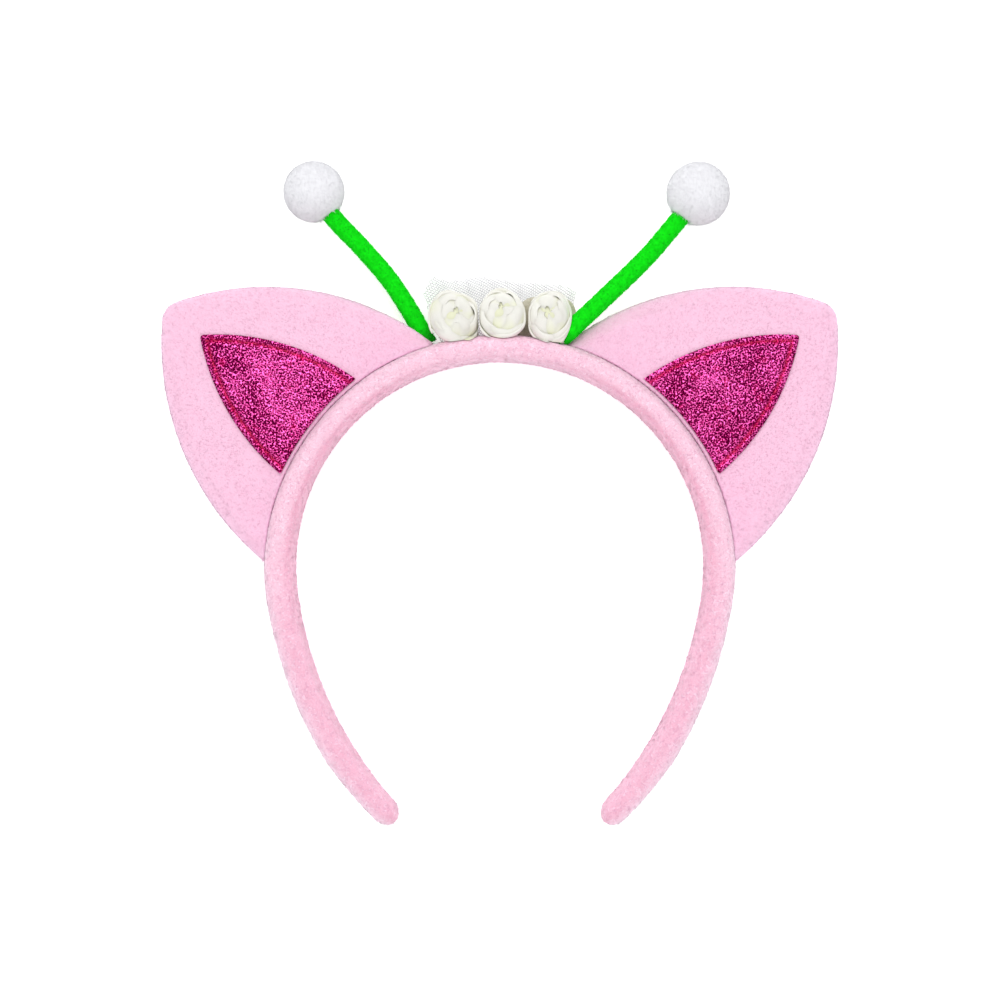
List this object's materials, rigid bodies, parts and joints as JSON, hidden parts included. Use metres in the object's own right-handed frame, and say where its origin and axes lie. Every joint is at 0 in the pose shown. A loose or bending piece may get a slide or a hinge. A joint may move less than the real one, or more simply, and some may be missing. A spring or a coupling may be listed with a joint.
{
  "type": "plush animal ear headband",
  "caption": "Padded plush headband with pointed animal ears, glitter inner panels, pompom antennae and foam roses over gathered tulle.",
  "frame": {"origin": "middle of the bounding box's underside, where the headband lies on its back", "axes": "+X to the right seen from the front, +Y from the leg tips to the crown, +Z from the back of the band to its front, up as it lies"},
  "size_m": [0.2034, 0.1992, 0.02],
  "materials": {
    "plush_pink": "short velour pile, matte with a soft sheen",
    "glitter_cloth": "metallic knitted glitter cloth",
    "chenille_green": "short chenille bristles",
    "pompom_white": "dense soft pile",
    "rose_foam": "soft satin foam sheet",
    "tulle_white": "fine nylon net",
    "felt_beige": "matte felt"
  },
  "bodies": {
    "root": {"band": "plush_pink", "ear_left": "plush_pink", "ear_right": "plush_pink", "inner_ear_left": "glitter_cloth", "inner_ear_right": "glitter_cloth", "antenna_stem_left": "chenille_green", "antenna_stem_right": "chenille_green", "pompom_left": "pompom_white", "pompom_right": "pompom_white", "rose_left": "rose_foam", "rose_centre": "rose_foam", "rose_right": "rose_foam", "tulle": "tulle_white", "rose_backing": "felt_beige"}
  },
  "joints": []
}
